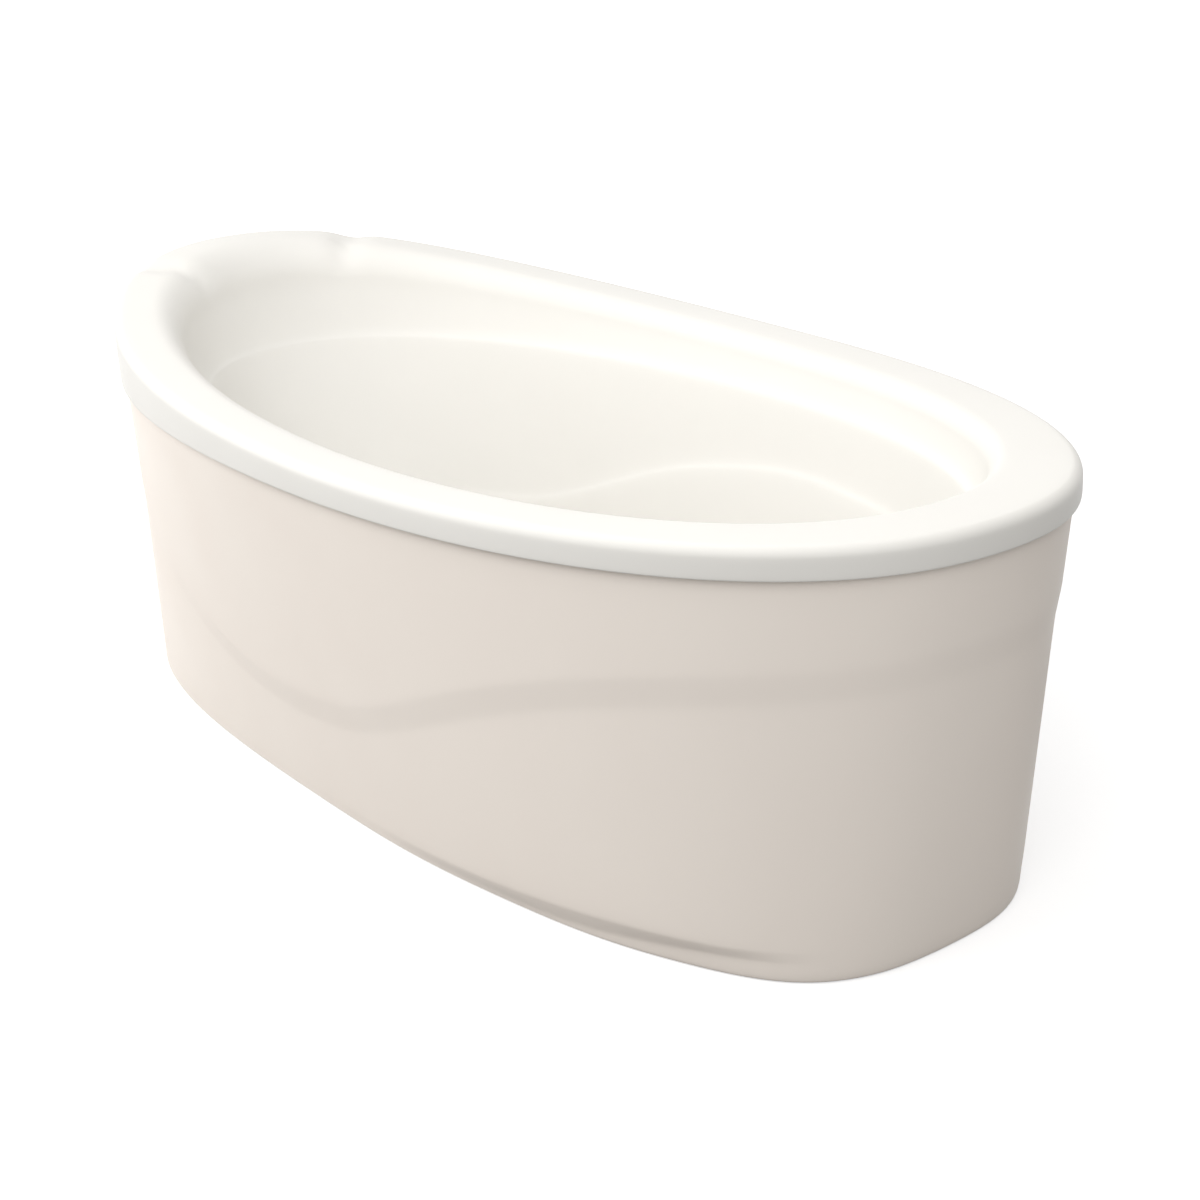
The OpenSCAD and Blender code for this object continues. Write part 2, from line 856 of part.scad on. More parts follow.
plate_r = knob_d / 2 + 2;
plate_t = 4;
plate_neck_r = overflow_hole_r - 1;
plate_bore_r = plate_neck_r - 3;
neck_depth = 14;
spindle_d = 10;
spindle_low = -30;
knob_z = 13;
knob_t = 13;
knob_grips = 6;
elbow_face = -wall_across - gasket_t;
elbow_depth = 36;
chamber_in_r = plate_neck_r + 1;
elbow_wall = 3;
elbow_back = 27;
hose_x = overflow_x + elbow_back * cos(wall_lean);
hose_top_z = overflow_z - 66;

module overflow_plate() {
    color("#C8CBCD")
    at_overflow()
        difference() {
            union() {
                ring(plate_r, plate_bore_r, seat_gap, plate_t);
                ring(plate_neck_r, plate_bore_r, -neck_depth, neck_depth + 1);
                translate([0, 0, -6])
                    cylinder(r = spindle_d / 2 + 3.5, h = 10);
                for (a = [0:120:240])
                    rotate([0, 0, a])
                        translate([0, -1.5, -5])
                            cube([plate_bore_r + 0.5, 3, 8]);
            }
            translate([0, 0, -10])
                cylinder(d = spindle_d + 2 * run_gap, h = 20);
        }
}

module overflow_knob() {
    color("#D0D3D5")
    at_overflow()
        difference() {
            translate([0, 0, knob_z])
                rotate_extrude()
                    polygon(concat(
                        [[0, 0], [knob_d / 2, 0]],
                        [for (a = [0:30:90])
                            [knob_d / 2 - 3 + 3 * cos(a), knob_t - 3 + 3 * sin(a)]],
                        [[0, knob_t]]));
            translate([0, 0, knob_z - 1])
                cylinder(r = knob_d / 2 - 3, h = 4);
            translate([0, 0, knob_z - 1])
                cylinder(d = spindle_d + 0.1, h = knob_t - 3);
            for (i = [0:knob_grips - 1])
                rotate([0, 0, 360 * i / knob_grips])
                    translate([knob_d / 2 + 7, 0, knob_z - 1])
                        cylinder(r = 9, h = knob_t + 2);
        }
}

module overflow_spindle() {
    color("#B8BBBD")
    at_overflow() {
        translate([0, 0, spindle_low])
            cylinder(d = spindle_d, h = knob_z + knob_t - 4.1 - spindle_low);
        translate([0, 0, spindle_low])
            cylinder(r = spindle_d / 2 + 5, h = 5);
    }
}

module overflow_gasket() {
    color("#26282A")
    at_overflow() ring(chamber_in_r + 10, overflow_hole_r + 0.3, elbow_face, gasket_t - 0.1);
}

module overflow_elbow() {
    color("#3A3D40")
    difference() {
        union() {
            at_overflow() {
                translate([0, 0, elbow_face - 5])
                    cylinder(r = chamber_in_r + 11, h = 5);
                translate([0, 0, elbow_face - elbow_depth])
                    cylinder(r = chamber_in_r + elbow_wall, h = elbow_depth);
            }
            translate([hose_x, 0, hose_top_z])
                cylinder(r = inlet_r, h = 46);
            translate([hose_x, gland_y, hose_top_z])
                cylinder(r = gland_r, h = 56);
        }
        at_overflow()
            translate([0, 0, elbow_face - elbow_depth + elbow_wall])
                cylinder(r = chamber_in_r, h = elbow_depth);
        translate([hose_x, 0, hose_top_z - 1])
            cylinder(r = inlet_r - 2.5, h = 48);
        translate([hose_x, gland_y, hose_top_z - 1])
            cylinder(r = 1.2, h = 58);
    }
}

// Route of the hose and of the cable beside it: down, round a bend, then to the drain

bend_r = 75;
hose_end_x = drain_x + inlet_end;
cable_end_x = drain_x + gland_end;

function route_length(end_x) =
    hose_top_z - inlet_z - bend_r + bend_r * PI / 2 + hose_x - bend_r - end_x;

// Centre, then the direction that points to the inner side of the bend
function route_at(s) =
    let (drop = hose_top_z - inlet_z - bend_r, arc = bend_r * PI / 2)
    s < drop ? [[hose_x, hose_top_z - s], [-1, 0]] :
    s < drop + arc ?
        let (a = (s - drop) / bend_r * 180 / PI)
        [[hose_x - bend_r + bend_r * cos(a), inlet_z + bend_r - bend_r * sin(a)],
         [-cos(a), sin(a)]] :
    [[hose_x - bend_r - (s - drop - arc), inlet_z], [0, 1]];

function route_point(s, y, r, a) =
    let (q = route_at(s), c = q[0], n = q[1])
    [c[0] + n[0] * r * cos(a), y + r * sin(a), c[1] + n[1] * r * cos(a)];

module overflow_hose() {
    sides = 8;
    from = 0.2;
    to = route_length(hose_end_x) - 0.2;
    ribs = floor((to - from) / rib_pitch);
    pitch = (to - from) / ribs;
    crest = hose_d / 2;
    valley = crest - 2;
    bore = valley - 1.6;
    inner_steps = 16;
    color("#6A6E72")
    skin([for (k = [0:sides - 1])
        let (a = 360 * k / sides)
        concat(
            [for (i = [0:ribs - 1]) each [
                route_point(from + i * pitch, 0, valley, a),
                route_point(from + (i + 0.5) * pitch, 0, crest, a)]],
            [route_point(to, 0, valley, a)],
            [for (i = [inner_steps:-1:0])
                route_point(from + (to - from) * i / inner_steps, 0, bore, a)])],
        []);
}

module hose_nuts() {
    color("#2E3033") {
        translate([hose_x, 0, 0])
            ring(hose_d / 2 + 4, hose_d / 2 + 0.3, hose_top_z - 10, 18);
        translate([hose_end_x, 0, inlet_z])
            rotate([0, 90, 0])
                ring(hose_d / 2 + 4, hose_d / 2 + 0.3, -8, 18);
    }
}

module plug_cable() {
    sides = 8;
    from = 0.2;
    to = route_length(cable_end_x) - 0.2;
    runs = 28;
    color("#33363A")
    skin([for (k = [0:sides - 1])
        [for (i = [0:runs])
            route_point(from + (to - from) * i / runs, gland_y, cable_d / 2, 360 * k / sides)]],
        [let (q = route_at(from)[0]) [q[0], gland_y, q[1]],
         let (q = route_at(to)[0]) [q[0], gland_y, q[1]]]);
}

// Trap and outlet

cup_r = 48;
cup_z = 5;
cup_wall = 3;
lid_z = body_low_z - 4;
outlet_z = 36;
socket_end = 78;
pipe_end_x = 200;
pipe_r = pipe_d / 2;
// Length of the free end that goes into a socket, as far as the stop ring on the pipe
pipe_free = 80;
stop_h = 3;

module trap_nut() {
    color("#2E3033")
    at_drain() ring(body_out_r + 7, body_out_r + seat_gap, body_low_z, 7.5);
}

module trap_lid() {
    color("#4A4E52")
    at_drain() {
        ring(cup_r + 2, body_out_r - 3, lid_z, 4);
        ring(body_out_r, body_out_r - 3, cup_z + 18, lid_z - cup_z - 17);
    }
}

module trap_gasket() {
    color("#26282A")
    at_drain() ring(cup_r, cup_r - 5, lid_z - 2, 2);
}

module trap_cup() {
    color("#3A3D40")
    at_drain()
        difference() {
            union() {
                translate([0, 0, cup_z])
                    cylinder(r = cup_r, h = lid_z - 2 - cup_z);
                translate([-socket_end, 0, outlet_z])
                    rotate([0, 90, 0])
                        cylinder(r = pipe_r + 3, h = socket_end - 20);
            }
            translate([0, 0, cup_z + cup_wall])
                cylinder(r = cup_r - cup_wall - 1, h = lid_z);
            translate([-socket_end - 1, 0, outlet_z])
                rotate([0, 90, 0])
                    cylinder(r = pipe_r + seat_gap, h = socket_end - cup_r + 2);
            translate([-socket_end, 0, outlet_z])
                rotate([0, 90, 0])
                    cylinder(r = pipe_r - pipe_t, h = socket_end - 30);
        }
}

module outlet_nut() {
    color("#2E3033")
    translate([drain_x - socket_end, 0, outlet_z])
        rotate([0, -90, 0])
            ring(pipe_r + 6, pipe_r + seat_gap, 0, 14);
}

module outlet_pipe() {
    color("#8A8E92")
    translate([pipe_end_x, 0, outlet_z])
        rotate([0, 90, 0])
            difference() {
                union() {
                    cylinder(r = pipe_r, h = drain_x - cup_r - pipe_end_x - 2);
                    translate([0, 0, pipe_free])
                        cylinder(r = pipe_r + stop_h, h = stop_h);
                }
                translate([0, 0, -1])
                    cylinder(r = pipe_r - pipe_t, h = drain_x - pipe_end_x);
            }
}

tub_shell();
apron();
rim_blocks();
apron_brackets();
apron_screws();
base_board();
board_screws();
rail_near();
rail_far();
crossbar_head();
crossbar_middle();
crossbar_toe();
frame_bolts();
frame_nuts();
tube_caps();
leg_inserts();
leg_lock_nuts();
leg_stud_head_near();
leg_stud_head_far();
leg_stud_middle_near();
leg_stud_middle_far();
leg_stud_toe_near();
leg_stud_toe_far();
leg_pad_head_near();
leg_pad_head_far();
leg_pad_middle_near();
leg_pad_middle_far();
leg_pad_toe_near();
leg_pad_toe_far();
drain_flange();
drain_gasket_upper();
drain_gasket_lower();
drain_body();
drain_plug();
plug_seal();
plug_stem();
plug_lifter();
lifter_pin();
overflow_plate();
overflow_knob();
overflow_spindle();
overflow_gasket();
overflow_elbow();
overflow_hose();
hose_nuts();
plug_cable();
trap_nut();
trap_cup();
trap_lid();
trap_gasket();
outlet_nut();
outlet_pipe();
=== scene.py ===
import json
import math

import bmesh
import bpy
from mathutils import Euler, Matrix, Vector


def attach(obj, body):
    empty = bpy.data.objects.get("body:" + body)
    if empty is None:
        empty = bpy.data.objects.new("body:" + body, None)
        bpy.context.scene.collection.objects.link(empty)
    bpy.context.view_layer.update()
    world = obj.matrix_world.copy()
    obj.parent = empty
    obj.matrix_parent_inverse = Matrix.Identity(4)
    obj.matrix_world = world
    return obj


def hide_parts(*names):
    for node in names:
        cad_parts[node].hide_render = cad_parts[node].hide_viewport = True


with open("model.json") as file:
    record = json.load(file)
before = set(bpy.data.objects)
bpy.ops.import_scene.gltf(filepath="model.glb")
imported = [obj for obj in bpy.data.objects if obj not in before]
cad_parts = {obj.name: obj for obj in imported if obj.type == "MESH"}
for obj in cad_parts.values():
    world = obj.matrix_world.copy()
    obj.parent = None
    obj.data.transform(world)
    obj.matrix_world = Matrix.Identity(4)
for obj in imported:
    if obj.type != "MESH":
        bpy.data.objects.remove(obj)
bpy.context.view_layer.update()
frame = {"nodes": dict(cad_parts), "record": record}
mm = 0.001
print("frame loaded")


# Helpers shared by every piece

def hexColour(code):
    # sRGB hex to the linear colour that a shader wants
    parts = [int(code[i:i + 2], 16) / 255 for i in (1, 3, 5)]
    return tuple(p / 12.92 if p <= 0.04045 else ((p + 0.055) / 1.055) ** 2.4 for p in parts) + (1,)


def addNode(tree, kind, settings=None, inputs=None):
    # a value that is a socket is linked, anything else is set
    node = tree.nodes.new(kind)
    for key, value in (settings or {}).items():
        setattr(node, key, value)
    for key, value in (inputs or {}).items():
        if isinstance(value, bpy.types.NodeSocket):
            tree.links.new(value, node.inputs[key])
        else:
            node.inputs[key].default_value = value
    return node


def emptyMaterial(name):
    material = bpy.data.materials.new(name)
    material.use_nodes = True
    material.node_tree.nodes.clear()
    return material, material.node_tree


def finishMesh(bm, name, material, smooth=True):
    bmesh.ops.recalc_face_normals(bm, faces=bm.faces)
    for face in bm.faces:
        face.smooth = smooth
    mesh = bpy.data.meshes.new(name)
    bm.to_mesh(mesh)
    bm.free()
    mesh.materials.append(material)
    piece = bpy.data.objects.new(name, mesh)
    bpy.context.collection.objects.link(piece)
    return piece


def applyModifiers(piece):
    graph = bpy.context.evaluated_depsgraph_get()
    baked = bpy.data.meshes.new_from_object(piece.evaluated_get(graph))
    piece.modifiers.clear()
    piece.data = baked


def subdivided(piece, levels):
    smoother = piece.modifiers.new("smoother", "SUBSURF")
    smoother.levels = levels
    smoother.render_levels = levels
    return piece


def grownRings(columns, rows, placeAt, closed=True):
    # one circle is grown row by row, and each new ring is moved to its place on the section
    bm = bmesh.new()
    turn = bm.verts.layers.int.new("turn")
    ring = bmesh.ops.create_circle(bm, segments=columns, radius=1)["verts"]
    for number, vert in enumerate(ring):
        vert[turn] = number
    edges = bm.edges[:]
    for vert in ring:
        vert.co = placeAt(vert[turn], 0)
    for row in range(1, rows + 1 if closed else rows):
        grown = bmesh.ops.extrude_edge_only(bm, edges=edges)["geom"]
        fresh = {item for item in grown if isinstance(item, bmesh.types.BMVert)}
        edges = [item for item in grown if isinstance(item, bmesh.types.BMEdge)
                 and item.verts[0] in fresh and item.verts[1] in fresh]
        for vert in fresh:
            vert.co = placeAt(vert[turn], row % rows)
    if closed:
        bmesh.ops.remove_doubles(bm, verts=bm.verts, dist=0.001 * mm)
    return bm


# Finishes

def grainyFinish(name, base, shade, grainMm, roughness, bumpMm=0.0, metallic=0.0,
                 stretch=(1, 1, 1)):
    # base and shade are the two ends of a faint cloudy variation
    # roughness is a low and a high value, and a stretch below 1 draws the grain out that way
    material, tree = emptyMaterial(name)
    place = addNode(tree, "ShaderNodeTexCoord")
    stretched = addNode(tree, "ShaderNodeMapping", inputs={
        "Vector": place.outputs["Object"], "Scale": stretch})
    grain = addNode(tree, "ShaderNodeTexNoise", inputs={
        "Vector": stretched.outputs["Vector"], "Scale": 1 / (grainMm * mm), "Detail": 3.0})
    tone = addNode(tree, "ShaderNodeMix", {"data_type": "RGBA"}, {
        "Factor": grain.outputs["Fac"], "A": hexColour(base), "B": hexColour(shade)})
    gloss = addNode(tree, "ShaderNodeMapRange", inputs={
        "Value": grain.outputs["Fac"], "From Min": 0.3, "From Max": 0.7,
        "To Min": roughness[0], "To Max": roughness[1]})
    shader = addNode(tree, "ShaderNodeBsdfPrincipled", inputs={
        "Base Color": tone.outputs[2], "Roughness": gloss.outputs["Result"],
        "Metallic": metallic})
    if bumpMm:
        bump = addNode(tree, "ShaderNodeBump", inputs={
            "Height": grain.outputs["Fac"], "Distance": bumpMm * mm, "Strength": 1.0})
        tree.links.new(bump.outputs["Normal"], shader.inputs["Normal"])
    addNode(tree, "ShaderNodeOutputMaterial", inputs={"Surface": shader.outputs["BSDF"]})
    return material


def sheetAcrylic(name, base, shade, roughness, ripple, peel, specular):
    # thermoformed acrylic sheet: even colour, a slow draw ripple and a fine skin over it
    # ripple and peel are each a wavelength and a height, in millimetres
    material, tree = emptyMaterial(name)
    place = addNode(tree, "ShaderNodeTexCoord")
    slow = addNode(tree, "ShaderNodeTexNoise", inputs={
        "Vector": place.outputs["Object"], "Scale": 1 / (ripple[0] * mm), "Detail": 1.0})
    skin = addNode(tree, "ShaderNodeTexNoise", inputs={
        "Vector": place.outputs["Object"], "Scale": 1 / (peel[0] * mm), "Detail": 2.0})
    tone = addNode(tree, "ShaderNodeMix", {"data_type": "RGBA"}, {
        "Factor": slow.outputs["Fac"], "A": hexColour(base), "B": hexColour(shade)})
    gloss = addNode(tree, "ShaderNodeMapRange", inputs={
        "Value": slow.outputs["Fac"], "From Min": 0.35, "From Max": 0.65,
        "To Min": roughness[0], "To Max": roughness[1]})
    slowBump = addNode(tree, "ShaderNodeBump", inputs={
        "Height": slow.outputs["Fac"], "Distance": ripple[1] * mm, "Strength": 1.0})
    skinBump = addNode(tree, "ShaderNodeBump", inputs={
        "Height": skin.outputs["Fac"], "Distance": peel[1] * mm, "Strength": 1.0,
        "Normal": slowBump.outputs["Normal"]})
    shader = addNode(tree, "ShaderNodeBsdfPrincipled", inputs={
        "Base Color": tone.outputs[2], "Roughness": gloss.outputs["Result"],
        "IOR": 1.49, "Specular IOR Level": specular, "Normal": skinBump.outputs["Normal"]})
    addNode(tree, "ShaderNodeOutputMaterial", inputs={"Surface": shader.outputs["BSDF"]})
    return material


def sawnPlywood(name, base, dark, plyMm):
    # birch plywood: thin plies seen on the edges, long soft grain on the face
    waveLength = 0.314  # of a wave texture at a scale of 1
    material, tree = emptyMaterial(name)
    place = addNode(tree, "ShaderNodeTexCoord")
    along = addNode(tree, "ShaderNodeMapping", inputs={
        "Vector": place.outputs["Object"], "Scale": (1, 12, 1)})
    grain = addNode(tree, "ShaderNodeTexNoise", inputs={
        "Vector": along.outputs["Vector"], "Scale": 1 / (90 * mm), "Detail": 6.0,
        "Roughness": 0.6})
    plies = addNode(tree, "ShaderNodeTexWave", {"bands_direction": "Z"}, {
        "Vector": place.outputs["Object"], "Scale": waveLength / (plyMm * mm), "Distortion": 0.6})
    mixed = addNode(tree, "ShaderNodeMix", {"data_type": "FLOAT"}, {
        "Factor": 0.35, "A": grain.outputs["Fac"], "B": plies.outputs["Fac"]})
    tone = addNode(tree, "ShaderNodeMix", {"data_type": "RGBA"}, {
        "Factor": mixed.outputs[0], "A": hexColour(base), "B": hexColour(dark)})
    bump = addNode(tree, "ShaderNodeBump", inputs={
        "Height": grain.outputs["Fac"], "Distance": 0.3 * mm, "Strength": 0.6})
    shader = addNode(tree, "ShaderNodeBsdfPrincipled", inputs={
        "Base Color": tone.outputs[2], "Roughness": 0.7, "Normal": bump.outputs["Normal"]})
    addNode(tree, "ShaderNodeOutputMaterial", inputs={"Surface": shader.outputs["BSDF"]})
    return material


shellAcrylic = sheetAcrylic(  # white sheet: near neutral, with broad soft highlights
    "glossAcrylicSheet", "#E5E3DE", "#E3E1DC", roughness=(0.36, 0.42), ripple=(140, 0.25),
    peel=(6, 0.012), specular=0.07)
apronAcrylicPaintedLighter = sheetAcrylic(  # the same sheet, a little duller; its colour is painted lighter than the shell's to offset the shade on the apron, and warmer as painted warm shade
    "satinAcrylicSheetPaintedLighter", "#F5EDE4", "#F3EAE1", roughness=(0.38, 0.46), ripple=(160, 0.35),
    peel=(5, 0.02), specular=0.04)
finishes = {
    "shell_acrylic": shellAcrylic,
    "apron_acrylic": apronAcrylicPaintedLighter,
    "block_wood": sawnPlywood("sawnPlywoodBlock", "#CDB084", "#A98553", 1.6),
    "board_wood": sawnPlywood("sawnPlywoodBoard", "#D9C299", "#B5955F", 1.6),
    "frame_steel": grainyFinish(  # powder coat: even grey with a pebbled orange-peel skin
        "powderCoatedSteel", "#5F656A", "#54595E", 2.5, (0.38, 0.5), bumpMm=0.06),
    "zinc_steel": grainyFinish(  # zinc plate: cool bright metal, slightly cloudy
        "zincPlatedSteel", "#C3C7CA", "#A9ADB2", 4, (0.28, 0.42), metallic=1.0),
    "black_plastic": grainyFinish(  # moulded nylon: near black with a fine spark-eroded skin
        "mouldedNylon", "#2C2E31", "#232528", 1.5, (0.45, 0.6), bumpMm=0.03),
    "chrome_plate": grainyFinish(  # plated brass: a mirror that is barely hazed by wiping
        "chromePlatedBrass", "#DADDDF", "#D2D5D8", 12, (0.04, 0.09), metallic=1.0),
    "stainless_steel": grainyFinish(  # turned rod: fine rings round Z that stretch a highlight
        "turnedStainless", "#B4B6B8", "#9C9FA2", 2, (0.22, 0.34), metallic=1.0,
        stretch=(0.2, 0.2, 3)),
    "seal_rubber": grainyFinish(  # EPDM: dull black with a dusty bloom
        "mouldedRubber", "#1D1E20", "#2B2C2E", 3, (0.65, 0.85), bumpMm=0.04),
    "waste_plastic": grainyFinish(  # glass-filled polypropylene: charcoal, faint flow marks
        "filledPolypropylene", "#3A3D41", "#303337", 9, (0.4, 0.52), bumpMm=0.05,
        stretch=(1, 1, 0.4)),
    "hose_plastic": grainyFinish(  # blown polyethylene: mid grey, waxy
        "blownPolyethylene", "#77797C", "#6B6D71", 8, (0.32, 0.42), bumpMm=0.05),
    "cable_sheath": grainyFinish(  # extruded vinyl: dark, smooth along its run
        "extrudedVinyl", "#33363A", "#2A2C30", 5, (0.35, 0.45)),
    "pipe_plastic": grainyFinish(  # extruded pipe: light grey with draw lines along X
        "extrudedPipe", "#96999C", "#87898D", 5, (0.3, 0.42), stretch=(0.1, 1, 1)),
}
slotOf = {part["node"]: part["material_slot"] for part in frame["record"]["subparts"]}
for nodeName, nodeObject in frame["nodes"].items():
    for place in nodeObject.material_slots:
        place.material = finishes[slotOf[nodeName]]
print("finishes made")


# Shape of the tub, in millimetres. An inset is a triple: toe end, sides, head end. A turn is the
# two angles, in degrees from the toe end, between which a value changes.

tub = {
    "halfLength": 850, "halfWidth": 435, "rimZ": 520, "headRise": 100, "risePower": 3.6,
    "rimSquare": 2.2, "basinSquare": 2.15, "egg": 0.04, "bandHeight": 36, "edgeRadius": 14,
    "bandEdge": ((0, 2.4), (0.5, 0.5), (2.4, 0)), "wall": 6, "columns": 88, "crowd": 23,
    "rimFlat": (86, 55, 40), "rollIn": (20, 34, 90), "rollShare": 0.5, "rimFall": 2,
    "restHalfWidth": 195, "grooveDepth": 14, "grooveHalfWidth": 46, "grooveLean": 0.8,
    "grooveX": -780, "grooveFade": 0.7,
    "ledgeZ": 463, "ledgeWidth": 10, "ledgeIn": (112, 100, 165), "ledgeFall": 3,
    "ledgeSoft": (1.5, 0.5), "ledgeStep": 3, "underLedge": 12,
    "armZ": (372, 232), "armTurn": (70, 130), "armStep": 9, "armEdge": 4,
    "armLevels": (-9, -1, 5), "armUnder": (-10, 2),  # heights round the lower ledge, from armZ
    "floorZ": 118, "floorFall": 3, "filletRadius": 60, "wallBottom": (192, 173, 360),
    "bottomStep": 2, "padShare": 0.988,
    "drainX": 480, "drainFlatRadius": 60, "drainHole": 26, "recessRadius": 35.5,
    "recessDepth": 2, "recessRing": 4, "edgeSoft": 0.8,
}
bandZ = tub["rimZ"] - tub["bandHeight"]
wallTopZ = tub["ledgeZ"] - tub["underLedge"]
wallLowZ = tub["floorZ"] + tub["filletRadius"]


def signedPow(value, power):
    return math.copysign(abs(value) ** power, value)


def mix(a, b, share):
    return a + (b - a) * share


def ease(value):
    clamped = max(0.0, min(1.0, value))
    return clamped * clamped * (3 - 2 * clamped)


def moved(inset, by, scale=1.0):
    # an inset triple plus a number, or plus another triple times a scale
    other = by if isinstance(by, tuple) else (by, by, by)
    return tuple(a + b * scale for a, b in zip(inset, other))


def angleAt(number):
    u = 2 * math.pi * number / tub["columns"]
    return u + math.radians(tub["crowd"]) * math.sin(u)


def folded(t):
    degrees = math.degrees(t) % 360
    return 360 - degrees if degrees > 180 else degrees


def turned(t, start, stop):
    # eases from 0 to 1 between the two angles of a turn
    return ease((folded(t) - start) / (stop - start))


def outlineAt(t, toe, side, head, square, egg):
    across = toe if math.cos(t) > 0 else head
    return (across * signedPow(math.cos(t), 2 / square),
            side * signedPow(math.sin(t), 2 / square) * (1 + egg * math.cos(t)))


def insetPoint(t, inset, square):
    return outlineAt(t, tub["halfLength"] - inset[0], tub["halfWidth"] - inset[1],
                     tub["halfLength"] - inset[2], square, tub["egg"])


def outwardAt(t, square):
    way = Vector((signedPow(math.cos(t), 2 - 2 / square) / tub["halfLength"],
                  signedPow(math.sin(t), 2 - 2 / square) / tub["halfWidth"]))
    return way.normalized()


def rimTop(t):
    share = (1 - signedPow(math.cos(t), 2 / tub["rimSquare"])) / 2
    return tub["rimZ"] + tub["headRise"] * share ** tub["risePower"]


def grooveAt(x, y):
    # the two soft valleys that frame the neck rest
    if x > 0:
        return 0
    lineY = tub["restHalfWidth"] - tub["grooveLean"] * (x - tub["grooveX"])
    off = abs(abs(y) - lineY) / tub["grooveHalfWidth"]
    return tub["grooveDepth"] * (1 - min(1, off)) ** 2


def wallIn(z):
    top = moved(tub["ledgeIn"], tub["ledgeWidth"] + tub["ledgeStep"])
    share = (wallTopZ - z) / (wallTopZ - wallLowZ)
    return tuple(mix(a, b, share) for a, b in zip(top, tub["wallBottom"]))


def sectionRings(sectionAt):
    # a closed skin through one section for each column
    sections = [sectionAt(angleAt(i)) for i in range(tub["columns"])]
    return grownRings(tub["columns"], len(sections[0]),
                      lambda number, row: Vector(sections[number][row]) * mm)


def rimPoint(t, inset, square, down, share):
    x, y = insetPoint(t, inset, square)
    return x, y, rimTop(t) - down - share * grooveAt(x, y)


def basinPoint(t, inset, z):
    x, y = insetPoint(t, inset, tub["basinSquare"])
    return x, y, z


def flatPoint(t, inset, z):
    # the toe wall is planed flat where the overflow sits
    x, y = insetPoint(t, inset, tub["basinSquare"])
    return min(x, (tub["halfLength"] - inset[0]) * tub["padShare"]), y, z


def floorPoint(t, share, z):
    x, y = insetPoint(t, moved(tub["wallBottom"], tub["filletRadius"]), tub["basinSquare"])
    nearX = tub["drainX"] + tub["drainFlatRadius"] * math.cos(t)
    nearY = tub["drainFlatRadius"] * math.sin(t)
    return mix(nearX, x, share), mix(nearY, y, share), z


def drainPoint(t, radius, z):
    return tub["drainX"] + radius * math.cos(t), radius * math.sin(t), z


def rollDown(t, a):
    return tub["rimFall"] + (rimTop(t) - tub["rimFall"] - tub["ledgeZ"]) * tub["rollShare"] * (
        1 - math.cos(a))


def grooveShare(a):
    # the grooves fade down the roll
    return 1 - tub["grooveFade"] * (1 - math.cos(a))


def quarter(first, last, count):
    # angles from first to last, in radians
    return [math.radians(mix(first, last, i / count)) for i in range(count + 1)]


